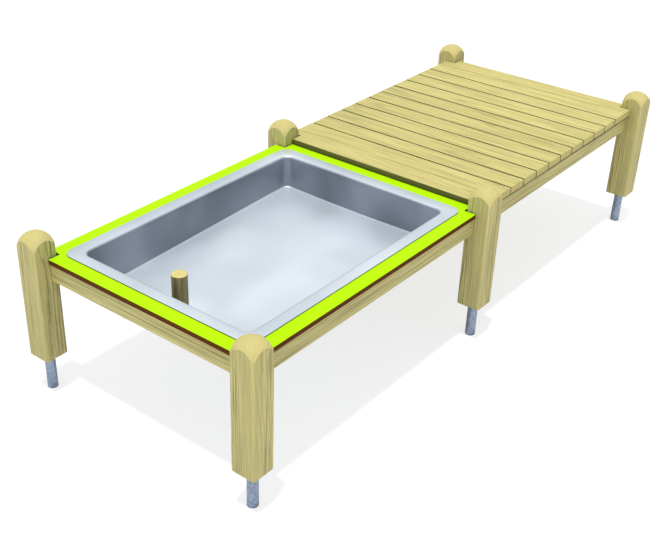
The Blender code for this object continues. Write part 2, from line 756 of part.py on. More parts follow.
def make_plug():
    place = Matrix.Translation((DRAIN_X, 0.0, 0.0))
    throat_top = FLOOR_Z + GAP + FITTING_FLANGE_T
    foot = throat_top + 2.0 * GAP
    bore = PLUG_SCREW_R + GAP
    deep = foot + PLUG_SCREW_LENGTH - STOPPER_H
    origin = (DRAIN_X, 0.0, foot)

    bm = bmesh.new()
    outer = [(PLUG_R - 0.001, foot), (PLUG_R, foot + 0.001), (PLUG_R, PLUG_TOP - PLUG_ROUND),
             (PLUG_R - 0.3 * PLUG_ROUND, PLUG_TOP - 0.3 * PLUG_ROUND),
             (PLUG_R - PLUG_ROUND, PLUG_TOP), (PLUG_R * 0.45, PLUG_TOP)]
    lathe(bm, outer, PLUG_STEPS, place)
    dowel = make_object("plug_dowel", bm, WOOD, origin=origin)
    hole = bmesh.new()
    lathe(hole, ((bore, -0.005), (bore, deep - foot + 0.001)), 12)
    bmesh.ops.translate(hole, verts=hole.verts, vec=origin)
    cut(dowel, [hole])
    shade_by_angle(dowel, 40.0)

    top = foot - GAP
    low = top - STOPPER_H
    pocket = low + STOPPER_HEAD_ROOM
    end_r = STOPPER_END_R - STOPPER_CLEAR
    top_r = STOPPER_TOP_R - STOPPER_CLEAR
    bm = bmesh.new()
    profile = (
        (bore, pocket), (STOPPER_HEAD_R, pocket), (STOPPER_HEAD_R, low),
        (end_r - 0.002, low), (end_r, low + 0.002),
        (top_r, top - 0.0015), (top_r - 0.001, top), (bore, top),
    )
    lathe(bm, profile, DRAIN_STEPS, place, loop=True)
    make_object("plug_stopper", bm, RUBBER, smooth_degrees=40.0, origin=origin)

    bm = bmesh.new()
    head = pocket - GAP
    profile = (
        (PLUG_HEAD_R - 0.002, head - PLUG_HEAD_H), (PLUG_HEAD_R, head - 0.6 * PLUG_HEAD_H),
        (PLUG_HEAD_R, head), (PLUG_SCREW_R, head),
        (PLUG_SCREW_R, deep - 0.004), (PLUG_SCREW_R * 0.3, deep - 0.001),
    )
    lathe(bm, profile, 12, place)
    make_object("plug_screw", bm, STEEL, smooth_degrees=40.0, origin=origin)


# ---- deck ------------------------------------------------------------------------------------
def board_section(x0, x1, wide):
    """Section of a deck board in X and Z, rounded at the arrises, with the glue line of a wide one."""
    top = BOARD_Z + BOARD_THICK
    points = rounded_outline(x0, x1, BOARD_Z, top, BOARD_ARRIS, 2)
    if not wide:
        return points
    middle = (x0 + x1) / 2.0
    groove = [(middle + GLUE_LINE_W / 2.0, top), (middle, top - GLUE_LINE_DEPTH),
              (middle - GLUE_LINE_W / 2.0, top)]
    return points[:3] + groove + points[3:]


def make_boards():
    half = BOARD_LENGTH / 2.0
    reach = HALF_W - DECK_NOTCH
    last = len(board_spans())
    for number, (x0, x1, wide) in enumerate(board_spans(), start=1):
        section = board_section(x0, x1, wide)
        bm = bmesh.new()
        skin(bm, [[(x, y, z) for x, z in section] for y in (-half, half)])
        board = make_object("deck_board_%02d" % number, bm, DECK_WOOD)
        cutters = []
        if wide:
            low_x, high_x = (x0 - 0.01, DECK_NOTCH) if number == 1 else (BAY_LENGTH - DECK_NOTCH,
                                                                        x1 + 0.01)
            for side in (-1, 1):
                ys = sorted((side * reach, side * (half + 0.01)))
                pocket = bmesh.new()
                box(pocket, low_x, high_x, *ys, BOARD_Z - 0.01, BOARD_Z + BOARD_THICK + 0.01)
                cutters.append(pocket)
            cut(board, cutters)
        shade_by_angle(board, 50.0)


def main():
    clear_scene()
    for number in POSTS:
        make_post(number)
        make_anchor(number)
        make_anchor_screw(number)
    make_rails()
    make_battens()
    make_panel()
    make_basin()
    make_basin_fixings()
    make_drain()
    make_plug()
    make_boards()


main()
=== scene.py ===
"""Looks of the sand and water table: detailed pieces, procedural materials, light and camera."""

import math
import random

import bmesh
import bpy
from mathutils import Matrix, Vector


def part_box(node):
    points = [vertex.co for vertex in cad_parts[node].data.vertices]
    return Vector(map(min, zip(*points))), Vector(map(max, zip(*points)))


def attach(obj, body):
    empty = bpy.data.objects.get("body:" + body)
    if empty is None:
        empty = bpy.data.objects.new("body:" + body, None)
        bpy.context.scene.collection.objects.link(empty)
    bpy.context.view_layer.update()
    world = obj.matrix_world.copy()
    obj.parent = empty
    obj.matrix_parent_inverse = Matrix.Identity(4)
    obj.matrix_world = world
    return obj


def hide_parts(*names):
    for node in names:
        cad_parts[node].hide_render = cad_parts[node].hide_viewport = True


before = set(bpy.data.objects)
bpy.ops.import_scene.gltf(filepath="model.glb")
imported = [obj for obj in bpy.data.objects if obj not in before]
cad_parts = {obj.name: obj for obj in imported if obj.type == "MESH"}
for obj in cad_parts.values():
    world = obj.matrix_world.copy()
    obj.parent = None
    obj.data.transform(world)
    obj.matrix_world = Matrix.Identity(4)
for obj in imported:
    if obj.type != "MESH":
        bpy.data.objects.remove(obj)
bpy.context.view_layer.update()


# ---- sizes, in metres ----------------------------------------------------------
def cad_box(node):
    """A CAD node's lowest and highest corner, without the 32-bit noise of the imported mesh."""
    low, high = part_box(node)
    return [round(v, 5) for v in low], [round(v, 5) for v in high]


def middle_of(node):
    low, high = cad_box(node)
    return [(a + b) / 2.0 for a, b in zip(low, high)]


def count_of(prefix):
    return sum(node.startswith(prefix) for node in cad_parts)


POST_COUNT = count_of("post_")
BOARD_COUNT = count_of("deck_board_")
CUT_OVER = 0.01             # how far a cutter passes the faces it opens

post_low, post_high = cad_box("post_1")
HALF_W = middle_of("post_1")[1]
BAY = -middle_of("post_1")[0]
POST_HALF = (post_high[0] - post_low[0]) / 2.0
POST_BOTTOM = post_low[2]
POST_TOP = post_high[2]
POST_EDGE_R = 0.010
DOME_R = 0.0649
RECESS_R = 0.0125
RECESS_DEPTH = 0.010
SCREW_Z = middle_of("anchor_screw_1")[2]

TUBE_R = (cad_box("anchor_tube_1")[1][0] - cad_box("anchor_tube_1")[0][0]) / 2.0
TUBE_WALL = 0.003
TUBE_OVERLAP = 0.030        # how far the detailed tube runs up into its post

panel_low, panel_high = cad_box("table_panel")
PANEL_Z = panel_low[2]
PANEL_TOP = panel_high[2]
PANEL_NOTCH = 0.0532        # notch edge to post centre plane
LIME_SKIN = 0.0007
CUTOUT_INSET = 0.092
CUTOUT_R = 0.045

basin_low, basin_high = cad_box("basin")
RIM_TOP = basin_high[2]
RIM_INSET = -basin_high[0]
RIM_R = 0.040
RIM_LIP = 0.0033
STEEL = 0.002
BEND_R = 0.013
WALL_INSET = 0.110
WALL_R = 0.030
FLOOR_FILLET = 0.005
FLOOR_Z = basin_low[2] + STEEL
FLOOR_FALL = 0.0328         # slope of the floor towards the drain
FLOOR_DISH = 0.007          # rise from the middle line to the long walls
DRAIN_FLAT_R = 0.047
DRAIN_HOLE_R = 0.0265

DRAIN_X = middle_of("drain_fitting")[0]
DRAIN_BOTTOM = cad_box("drain_fitting")[0][2]
DRAIN_SEAT = FLOOR_Z + 0.0003
DRAIN_TOP = DRAIN_SEAT + 0.0022

plug_low, plug_high = cad_box("plug_dowel")
PLUG_R = plug_high[1]
PLUG_FOOT = plug_low[2]
PLUG_TOP = plug_high[2]
PLUG_ROUND = 0.0028
STOPPER_H = 0.020

board_low, board_high = cad_box("deck_board_01")
BOARD_Z = board_low[2]
BOARD_TOP = board_high[2]
BOARD_HALF = board_high[1]
BOARD_ROUND = 0.0032
DECK_NOTCH = 0.0512         # notch edge to post centre plane
GLUE_LINE = (0.0009, 0.0003, 0.0008)    # half width at the top, half width below, depth
RAIL_TOP = cad_box("side_rail_deck_front")[1][2]


def srgb(r, g, b):
    """Linear colour from 8-bit display values."""
    out = []
    for v in (r, g, b):
        v /= 255.0
        out.append(v / 12.92 if v <= 0.04045 else ((v + 0.055) / 1.055) ** 2.4)
    return (*out, 1.0)


# ---- colours -------------------------------------------------------------------
PINE_LIGHT, PINE_DARK = srgb(203, 192, 127), srgb(106, 93, 48)
DECK_LIGHT, DECK_DARK = srgb(198, 186, 117), srgb(146, 130, 68)
# the plug's wood tones are darkened as painted shade on its round side
PLUG_SHADED_LIGHT, PLUG_SHADED_DARK = srgb(146, 136, 92), srgb(90, 82, 48)

FLAT_STEEL = srgb(205, 213, 219), srgb(213, 221, 227)
# painted shade and reflection: the dark tones given to the upright steel
UPRIGHT_STEEL_SHADE = srgb(118, 122, 133), srgb(156, 163, 176)
# painted reflection: near-white patches on the flat steel
STEEL_GLINT = srgb(244, 248, 252)
STEEL_METAL = 0.50

ZINC_FLAKES = srgb(140, 154, 178), srgb(172, 185, 206)
LIME_TONES = srgb(167, 220, 0), srgb(173, 226, 0)
CORE_LAYERS = srgb(78, 40, 8), srgb(98, 54, 14)
CORE_SPECKS = srgb(122, 78, 34)
RUBBER, RUBBER_DUST = srgb(34, 35, 36), srgb(70, 71, 70)
BRASS, BRASS_TARNISH = srgb(196, 164, 92), srgb(128, 98, 52)

# painted shade: a dark line on the upright faces in a band of heights, low on the deck boards and high on
# the deck rails, where the boards sit on the rails
SHADOW_LINE_TINT = (0.24, 0.24, 0.20, 1.0)
# painted shade for the deck boards' faces that look along -X: the first board's face over the panel, then
# the faces seen in the gaps
FRONT_FACE_SHADE = (0.24, 0.26, 0.19, 1.0)   # first board, facing the panel
GAP_SHADE = (0.08, 0.08, 0.06, 1.0)     # the other boards, seen in the gaps
BOARD_SHADOW_LINE = (BOARD_Z - 0.0030, BOARD_Z + 0.0050)
RAIL_SHADOW_LINE = (RAIL_TOP - 0.0132, RAIL_TOP + 0.0045)

SHEET_GLOW = 0.72
SHEET_ALBEDO = (0.30, 0.30, 0.30, 1.0)
SHEET_BOUNCE = (0.78, 0.78, 0.78, 1.0)


# ---- shader building -------------------------------------------------------------
class Look:
    """A material under construction: small helpers that add nodes and wire them."""

    def __init__(self, name):
        self.material = bpy.data.materials.new(name)
        self.material.use_nodes = True
        self.tree = self.material.node_tree
        self.shader = self.tree.nodes["Principled BSDF"]
        self.column = 0

    def node(self, kind, **settings):
        made = self.tree.nodes.new(kind)
        made.location = (-200 * self.column, 0)
        self.column += 1
        for key, value in settings.items():
            setattr(made, key, value)
        return made

    def feed(self, socket, value):
        if isinstance(value, bpy.types.NodeSocket):
            self.tree.links.new(value, socket)
        else:
            socket.default_value = value

    def math(self, operation, a, b=0.0):
        made = self.node("ShaderNodeMath", operation=operation)
        self.feed(made.inputs[0], a)
        self.feed(made.inputs[1], b)
        return made.outputs[0]

    def vector(self, operation, a, b=(0.0, 0.0, 0.0)):
        made = self.node("ShaderNodeVectorMath", operation=operation)
        self.feed(made.inputs[0], a)
        self.feed(made.inputs[1], b)
        return made.outputs["Value" if operation in ("LENGTH", "DOT_PRODUCT") else "Vector"]

    def scaled(self, a, factor):
        made = self.node("ShaderNodeVectorMath", operation="SCALE")
        self.feed(made.inputs[0], a)
        self.feed(made.inputs["Scale"], factor)
        return made.outputs["Vector"]

    def stretched(self, a, factors):
        return self.vector("MULTIPLY", a, factors)

    def parts(self, a):
        """The X, Y and Z sockets of a vector."""
        made = self.node("ShaderNodeSeparateXYZ")
        self.feed(made.inputs[0], a)
        return made.outputs

    def place(self):
        return self.node("ShaderNodeTexCoord").outputs["Object"]

    def normal(self):
        return self.node("ShaderNodeNewGeometry").outputs["Normal"]

    def facing(self, axis):
        """How far the surface faces along an axis, either way."""
        return self.math("ABSOLUTE", self.vector("DOT_PRODUCT", self.normal(), axis))

    def noise(self, where, scale, detail, rough, warp=0.0, colour=False):
        made = self.node("ShaderNodeTexNoise")
        self.feed(made.inputs["Vector"], where)
        made.inputs["Scale"].default_value = scale
        made.inputs["Detail"].default_value = detail
        made.inputs["Roughness"].default_value = rough
        made.inputs["Distortion"].default_value = warp
        return made.outputs["Color" if colour else "Fac"]

    def wander(self, where, scale, detail, rough, reach):
        """A soft push in every direction, at most half the reach along each axis."""
        pushed = self.noise(where, scale, detail, rough, colour=True)
        return self.scaled(self.vector("SUBTRACT", pushed, (0.5, 0.5, 0.5)), reach)

    def ramp(self, factor, stops, ease="LINEAR"):
        made = self.node("ShaderNodeValToRGB")
        set_stops(made.color_ramp, stops)
        made.color_ramp.interpolation = ease
        self.feed(made.inputs["Fac"], factor)
        return made.outputs["Color"]

    def mix(self, factor, a, b, blend="MIX"):
        made = self.node("ShaderNodeMix", data_type="RGBA", blend_type=blend)
        self.feed(made.inputs[0], factor)
        self.feed(made.inputs[6], a)
        self.feed(made.inputs[7], b)
        return made.outputs[2]

    def times(self, colour, tint):
        return self.mix(1.0, colour, tint, "MULTIPLY")

    def remap(self, value, low, high, out_low, out_high):
        made = self.node("ShaderNodeMapRange")
        for socket, given in zip(made.inputs[:5], (value, low, high, out_low, out_high)):
            self.feed(socket, given)
        return made.outputs[0]

    def bump(self, height, strength, distance, normal=None):
        made = self.node("ShaderNodeBump")
        made.inputs["Strength"].default_value = strength
        made.inputs["Distance"].default_value = distance
        self.feed(made.inputs["Height"], height)
        if normal is not None:
            self.feed(made.inputs["Normal"], normal)
        return made.outputs["Normal"]

    def done(self, colour, rough, normal=None, metallic=0.0, specular=0.5):
        self.feed(self.shader.inputs["Base Color"], colour)
        self.feed(self.shader.inputs["Roughness"], rough)
        if normal is not None:
            self.feed(self.shader.inputs["Normal"], normal)
        self.shader.inputs["Metallic"].default_value = metallic
        self.shader.inputs["Specular IOR Level"].default_value = specular
        return self.material


def set_stops(bar, stops):
    """Colour ramp stops; a plain number stands for a grey."""
    while len(bar.elements) < len(stops):
        bar.elements.new(0.5)
    for element, (at, colour) in zip(bar.elements, stops):
        grey = isinstance(colour, (int, float))
        element.position = at
        element.color = (colour, colour, colour, 1.0) if grey else colour


# ---- materials -------------------------------------------------------------------
AXES = {"x": (1.0, 0.0, 0.0), "y": (0.0, 1.0, 0.0), "z": (0.0, 0.0, 1.0)}
GRAIN_TURN = {"x": (0.0, math.radians(-90), 0.0), "y": (math.radians(90), 0.0, 0.0), "z": (0.0, 0.0, 0.0)}
LATE_WOOD = [(0.0, 0.10), (0.08, 0.0), (0.55, 0.04), (0.76, 0.22), (0.88, 1.0), (1.0, 0.10)]


def wood(name, along, heart, seed, light, dark, ring, depth, wave, streak, fine=130.0,
         end=(0.80, 0.74, 0.66), end_from=0.75, edge=None, shadow_line=None, corner_lift=0.0, quiet=None):
    """Sawn pine as a solid: growth rings round a wavering heart line, fibre and end grain.

    along     axis of the grain; heart is a point on the middle line of the log
    ring      width of a year; depth and wave are the strength and waver of the rings
    streak    strength of the fine lines along the grain, fine their scale
    end       tint of the end grain, end_from how squarely a face must look along the grain to have it
    edge      painted shade on the faces that look along -X: the first deck board's face over the panel and the board faces seen in the gaps
    shadow_line   band of heights whose upright faces get painted shade: the shadow line where the deck boards sit on the rails
    worn      how much lighter the upright corners are
    quiet     a point and a direction across the grain: 26 to 56 mm that way the figure calms down
    """
    look = Look(name)
    rng = random.Random(seed)
    turned = look.node("ShaderNodeMapping")
    turned.inputs["Rotation"].default_value = GRAIN_TURN[along]
    turned.inputs["Location"].default_value = (0.0, 0.0, rng.uniform(-40.0, 40.0))
    look.feed(turned.inputs["Vector"], look.vector("SUBTRACT", look.place(), heart))
    log = turned.outputs["Vector"]

    sway = look.wander(look.stretched(log, (1.0, 1.0, 0.30)), 9.0, 1.0, 0.5, 0.055 * wave)
    ripple = look.wander(look.stretched(log, (1.0, 1.0, 0.22)), 70.0, 3.0, 0.6, 0.0105 * wave)
    bent = look.vector("ADD", look.vector("ADD", log, sway), ripple)
    across = look.vector("LENGTH", look.stretched(bent, (1.0, 1.0, 0.0)))
    taper = look.math("MULTIPLY", look.parts(log)["Z"], 0.015)
    years = look.math("DIVIDE", look.math("ADD", across, taper), ring)
    late = look.ramp(look.math("FRACT", years), LATE_WOOD)
    year = look.node("ShaderNodeTexWhiteNoise", noise_dimensions="1D")
    look.feed(year.inputs["W"], look.math("FLOOR", years))
    strength = look.remap(year.outputs["Value"], 0.0, 1.0, 0.15, 1.0)
    band = look.math("MULTIPLY", late, look.math("MULTIPLY", strength, depth))
    figure = 1.0
    if quiet:
        point, towards_side = quiet
        reach = look.vector("DOT_PRODUCT", look.vector("SUBTRACT", look.place(), point), towards_side)
        figure = look.remap(reach, 0.026, 0.056, 1.0, 0.25)
        band = look.math("MULTIPLY", band, figure)

    streaks = look.noise(look.stretched(log, (1.0, 1.0, 0.014)), fine, 2.0, 0.55, 0.2)
    fibre = look.noise(look.stretched(log, (1.0, 1.0, 0.022)), 620.0, 3.0, 0.6)
    pores = look.noise(look.stretched(log, (1.0, 1.0, 0.05)), 1500.0, 1.0, 0.5)
    cloud = look.noise(look.stretched(log, (1.0, 1.0, 0.35)), 14.0, 3.0, 0.6)
    colour = look.mix(band, light, dark)
    drawn = look.ramp(streaks, [(0.36, 1.0 - 2.2 * streak), (0.49, 1.0), (0.64, 1.0 + 0.9 * streak)])
    colour = look.mix(figure, colour, look.times(colour, drawn))
    colour = look.times(colour, look.ramp(fibre, [(0.25, 0.86), (0.75, 1.06)]))
    tint = [(0.3, (0.965, 0.97, 0.94, 1.0)), (0.7, (1.025, 1.02, 1.03, 1.0))]
    colour = look.times(colour, look.ramp(cloud, tint))

    sawn = look.ramp(look.facing(AXES[along]), [(end_from - 0.15, 0.0), (end_from, 1.0)])
    colour = look.mix(look.math("MULTIPLY", sawn, 0.72), colour, light)
    colour = look.mix(sawn, colour, look.times(colour, (*end, 1.0)))
    # painted shade: faces that look along -X are darkened by the edge colour
    if edge:
        sideways = look.vector("DOT_PRODUCT", look.normal(), (-1.0, 0.0, 0.0))
        minus_x_shade_mask = look.ramp(sideways, [(0.20, 0.0), (0.60, 1.0)])
        colour = look.mix(minus_x_shade_mask, colour, look.times(colour, edge))
    # painted shade: upright faces in the height band are darkened, a shadow line where the boards meet the
    # rails
    if shadow_line:
        height = look.parts(look.place())["Z"]
        above = look.remap(height, shadow_line[0], shadow_line[0] + 0.001, 0.0, 1.0)
        below = look.remap(height, shadow_line[1], shadow_line[1] + 0.001, 1.0, 0.0)
        upright = look.remap(look.facing(AXES["z"]), 0.5, 0.9, 1.0, 0.0)
        line_shade = look.math("MULTIPLY", look.math("MULTIPLY", above, below), upright)
        colour = look.mix(line_shade, colour, look.times(colour, SHADOW_LINE_TINT))
    # the upright rounded corners are made lighter by this share
    if corner_lift:
        turn = look.parts(look.normal())
        corner = look.math("ABSOLUTE", look.math("MULTIPLY", turn["X"], turn["Y"]))
        colour = look.scaled(colour, look.remap(corner, 0.10, 0.45, 1.0, 1.0 + corner_lift))
    relief = look.math("ADD", look.math("MULTIPLY", late, 0.55), look.math("MULTIPLY", fibre, 0.45))
    relief = look.math("ADD", relief, look.math("MULTIPLY", pores, 0.25))
    shine = look.remap(fibre, 0.2, 0.8, 0.56, 0.74)
    return look.done(colour, shine, look.bump(relief, 0.35, 0.0006), specular=0.3)


def steel(name):
    """Satin stainless sheet: pale on the flats with painted reflection in soft near-white patches, upright
    faces painted slate as shade and reflection, soft clouds and fine rubs.
    """
    look = Look(name)
    spot = look.place()
    cloud = look.ramp(look.noise(spot, 3.4, 1.5, 0.40, 0.5), [(0.30, 0.0), (0.70, 1.0)], "EASE")
    bloom = look.noise(look.stretched(spot, (1.0, 1.6, 1.0)), 2.6, 1.0, 0.4)
    fine = look.noise(look.stretched(spot, (1.0, 9.0, 9.0)), 160.0, 3.0, 0.65)
    rub = look.noise(look.stretched(spot, (9.0, 1.0, 9.0)), 120.0, 2.0, 0.6)
    rubs = look.math("ADD", fine, rub)
    # painted shade: the colour goes from the flat tone to the dark upright tone as the face stands up, for
    # the dark reflection in the basin walls
    level = look.math("ABSOLUTE", look.parts(look.normal())["Z"])
    lying = look.ramp(level, [(0.50, 0.0), (0.97, 1.0)])
    flat = look.mix(cloud, *FLAT_STEEL)
    # painted reflection: soft near-white patches mixed into the flat steel
    flat = look.mix(look.ramp(bloom, [(0.50, 0.0), (0.72, 0.35)]), flat, STEEL_GLINT)
    upright = look.mix(cloud, *UPRIGHT_STEEL_SHADE)
    rim_tone = look.remap(look.parts(spot)["Z"], 0.48, 0.53, 1.00, 0.91)
    colour = look.mix(lying, upright, look.scaled(flat, rim_tone))
    rough = look.math("ADD", look.remap(cloud, 0.0, 1.0, 0.30, 0.40), look.math("MULTIPLY", rubs, 0.05))
    normal = look.bump(rubs, 0.05, 0.0003)
    normal = look.bump(cloud, 0.04, 0.006, normal)
    return look.done(colour, rough, normal, metallic=STEEL_METAL)


def galvanised(name):
    """Hot-dip zinc: crystal flakes, runs and a dull bloom."""
    look = Look(name)
    spot = look.place()
    cells = look.node("ShaderNodeTexVoronoi", feature="F1")
    warped = look.vector("ADD", spot, look.scaled(look.noise(spot, 60.0, 2.0, 0.5, colour=True), 0.010))
    look.feed(cells.inputs["Vector"], warped)
    cells.inputs["Scale"].default_value = 120.0
    flake = look.node("ShaderNodeSeparateColor")
    look.feed(flake.inputs[0], cells.outputs["Color"])
    runs = look.noise(look.stretched(spot, (1.0, 1.0, 0.2)), 70.0, 3.0, 0.6, 0.4)
    colour = look.mix(flake.outputs[0], *ZINC_FLAKES)
    colour = look.times(colour, look.ramp(runs, [(0.3, 0.74), (0.7, 1.04)]))
    dull = look.remap(flake.outputs[1], 0.0, 1.0, 0.30, 0.46)
    rough = look.math("ADD", dull, look.math("MULTIPLY", runs, 0.12))
    height = look.math("ADD", look.math("MULTIPLY", flake.outputs[2], 0.3), runs)
    return look.done(colour, rough, look.bump(height, 0.25, 0.0008), metallic=0.85)


def lime_face(name):
    """Lime facing: almost even colour, faint orange peel and handling scuffs."""
    look = Look(name)
    spot = look.place()
    tone = look.noise(spot, 7.0, 3.0, 0.6)
    scuff = look.noise(look.stretched(spot, (1.0, 3.0, 1.0)), 90.0, 4.0, 0.7, 1.5)
    peel = look.noise(spot, 900.0, 2.0, 0.5)
    colour = look.mix(tone, *LIME_TONES)
    rubbed = look.remap(scuff, 0.35, 0.75, 0.40, 0.54)
    rough = look.math("ADD", rubbed, look.math("MULTIPLY", peel, 0.06))
    return look.done(colour, rough, look.bump(peel, 0.12, 0.0002), specular=0.05)


def brown_core(name):
    """Pressed brown core of the panel: thin layers seen on the cut edge."""
    look = Look(name)
    spot = look.place()
    layers = look.noise(look.stretched(spot, (0.03, 0.03, 1.0)), 1400.0, 2.0, 0.5)
    specks = look.noise(spot, 420.0, 4.0, 0.7)
    colour = look.mix(layers, *CORE_LAYERS)
    colour = look.mix(look.ramp(specks, [(0.45, 0.0), (0.75, 0.3)]), colour, CORE_SPECKS)
    height = look.math("ADD", layers, specks)
    rough = look.remap(specks, 0.3, 0.7, 0.65, 0.85)
    return look.done(colour, rough, look.bump(height, 0.3, 0.0004), specular=0.08)


def rubber(name):
    """Black rubber with a pebbled face and some dust."""
    look = Look(name)
    spot = look.place()
    dust = look.noise(spot, 60.0, 4.0, 0.65)
    pebble = look.noise(spot, 700.0, 2.0, 0.5)
    colour = look.mix(look.ramp(dust, [(0.4, 0.0), (0.8, 0.6)]), RUBBER, RUBBER_DUST)
    return look.done(colour, look.remap(dust, 0.3, 0.7, 0.60, 0.82), look.bump(pebble, 0.3, 0.0003))


def brass(name):
    """Turned brass: tool rings and patches of tarnish."""
    look = Look(name)
    spot = look.place()
    tarnish = look.noise(spot, 45.0, 4.0, 0.6, 0.8)
    turning = look.noise(look.stretched(spot, (1.0, 1.0, 14.0)), 200.0, 2.0, 0.5)
    colour = look.mix(look.ramp(tarnish, [(0.35, 0.0), (0.75, 0.7)]), BRASS, BRASS_TARNISH)
    rough = look.remap(tarnish, 0.3, 0.7, 0.26, 0.48)
    return look.done(colour, rough, look.bump(turning, 0.2, 0.0002), metallic=1.0)


def ground(name):
    """Back-lit studio sheet: it glows to the camera only, so that shadows on it stay pale."""
    look = Look(name)
    tone = look.noise(look.place(), 0.8, 2.0, 0.5)
    glow = look.remap(tone, 0.0, 1.0, SHEET_GLOW - 0.005, SHEET_GLOW + 0.005)
    seen = look.node("ShaderNodeLightPath").outputs["Is Camera Ray"]
    look.shader.inputs["Emission Color"].default_value = (1.0, 1.0, 1.0, 1.0)
    look.feed(look.shader.inputs["Emission Strength"], look.math("MULTIPLY", glow, seen))
    return look.done(look.mix(seen, SHEET_BOUNCE, SHEET_ALBEDO), 0.9, specular=0.0)


basin_steel = steel("satin_stainless")
zinc = galvanised("zinc")
lime = lime_face("lime_facing")
core = brown_core("brown_core")
black = rubber("black_rubber")
turned_brass = brass("turned_brass")


# ---- mesh building ---------------------------------------------------------------
def arc(cx, cy, radius, start, end, steps):
    points = []
    for k in range(steps + 1):
        a = math.radians(start + (end - start) * k / steps)
        points.append((cx + radius * math.cos(a), cy + radius * math.sin(a)))
    return points


def rounded_outline(x0, x1, y0, y1, radius, corner_steps, side_steps=1):
    corners = (
        arc(x1 - radius, y1 - radius, radius, 0, 90, corner_steps),
        arc(x0 + radius, y1 - radius, radius, 90, 180, corner_steps),
        arc(x0 + radius, y0 + radius, radius, 180, 270, corner_steps),
        arc(x1 - radius, y0 + radius, radius, 270, 360, corner_steps),
    )
    points = []
    for k, corner in enumerate(corners):
        (ax, ay), (bx, by) = corner[-1], corners[(k + 1) % 4][0]
        points.extend(corner)
        for s in range(1, side_steps):
            t = s / side_steps
            points.append((ax + (bx - ax) * t, ay + (by - ay) * t))
    return points


def offset_outline(points, distance):
    """The outline moved inwards, its corners mitred."""
    moved = []
    for i, point in enumerate(points):
        here = Vector(point)
        d1 = (here - Vector(points[i - 1])).normalized()
        d2 = (Vector(points[(i + 1) % len(points)]) - here).normalized()
        n1 = Vector((-d1.y, d1.x))
        n2 = Vector((-d2.y, d2.x))
        moved.append(tuple(here + (n1 + n2) / (1.0 + n1.dot(n2)) * distance))
    return moved


def at_height(outline, z):
    return [(x, y, z) for x, y in outline]


def skin(bm, rings, loop=False, slots=None):
    """Quads between closed rings, ends capped unless the chain loops.

    slots gives the material index of each band between two rings.
    """
    rows = [[bm.verts.new(co) for co in ring] for ring in rings]
    count = len(rows[0])
    pairs = list(zip(rows, rows[1:]))
    if loop:
        pairs.append((rows[-1], rows[0]))
    for band, (low, high) in enumerate(pairs):
        for i in range(count):
            j = (i + 1) % count
            face = bm.faces.new((low[i], low[j], high[j], high[i]))
            face.material_index = slots[band] if slots else 0
    if not loop:
        bm.faces.new(list(reversed(rows[0])))
        bm.faces.new(rows[-1])


def circle(radius, z, steps):
    """Points round the Z axis."""
    turns = (2.0 * math.pi * k / steps for k in range(steps))
    return [Vector((radius * math.cos(a), radius * math.sin(a), z)) for a in turns]


def lathe(bm, profile, steps, place, loop=False):
    """A profile of (radius, z) turned round the Z axis of a place."""
    skin(bm, [[place @ co for co in circle(radius, z, steps)] for radius, z in profile], loop=loop)


def towards(origin, direction):
    """A place at origin with its Z axis along direction."""
    turn = Vector((0, 0, 1)).rotation_difference(Vector(direction)).to_matrix().to_4x4()
    return Matrix.Translation(Vector(origin)) @ turn


def shade(obj, degrees):
    """Smooth shading with every edge above the angle kept sharp."""
    bm = bmesh.new()
    bm.from_mesh(obj.data)
    limit = math.radians(degrees)
    for face in bm.faces:
        face.smooth = True
    for edge in bm.edges:
        edge.smooth = len(edge.link_faces) == 2 and edge.calc_face_angle(math.pi) < limit
    bm.to_mesh(obj.data)
    bm.free()


def new_object(name, bm):
    """An object in the scene that takes over a bmesh."""
    mesh = bpy.data.meshes.new(name)
    bm.to_mesh(mesh)
    bm.free()
    obj = bpy.data.objects.new(name, mesh)
    bpy.context.scene.collection.objects.link(obj)
    return obj


def piece(name, bm, looks, node, degrees, body="frame"):
    """A finished piece that stands for a CAD node and rides on a body."""
    bmesh.ops.recalc_face_normals(bm, faces=bm.faces)
    obj = new_object(name, bm)
    for look in looks:
        obj.data.materials.append(look)
    shade(obj, degrees)
    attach(obj, body)
    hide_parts(node)
    return obj


def carve(obj, bm, degrees):
    """Subtract a bmesh from a piece, keep the result in its mesh and shade it again."""
    bmesh.ops.recalc_face_normals(bm, faces=bm.faces)
    tool = new_object("carver", bm)
    step = obj.modifiers.new("carve", "BOOLEAN")
    step.operation = "DIFFERENCE"
    step.solver = "EXACT"
    step.object = tool
    bpy.context.view_layer.update()
    graph = bpy.context.evaluated_depsgraph_get()
    result = bpy.data.meshes.new_from_object(obj.evaluated_get(graph))
    obj.modifiers.clear()
    old = obj.data
    obj.data = result
    result.name = obj.name
    bpy.data.meshes.remove(old)
    bpy.data.objects.remove(tool, do_unlink=True)
    shade(obj, degrees)


def dress(name, look):
    """A CAD node keeps its shape and gets a detailed material."""
    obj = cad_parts[name]
    obj.data.materials.clear()
    obj.data.materials.append(look)


# ---- posts and ground anchors ---------------------------------------------------------
DOME_SCALES = (1.0, 0.985, 0.95, 0.89, 0.81, 0.71, 0.60, 0.48, 0.36, 0.24, 0.12, 0.03)
POST_SHARP = 24.0
WASHER = ((0.0040, -0.020), (0.0040, 0.0004), (0.0098, 0.0004), (0.0100, 0.0008), (0.0098, 0.0014),
          (0.0070, 0.0016))
HEX_HEAD = ((0.0075, 0.0012), (0.0075, 0.0048), (0.0068, 0.0056), (0.0060, 0.0058))


def post_place(number):
    """Centre of a post on the ground plane."""
    x, y, _ = middle_of("post_%d" % number)
    return x, y


def dome_height(radius):
    return POST_TOP - DOME_R + math.sqrt(max(DOME_R ** 2 - radius ** 2, 0.0))


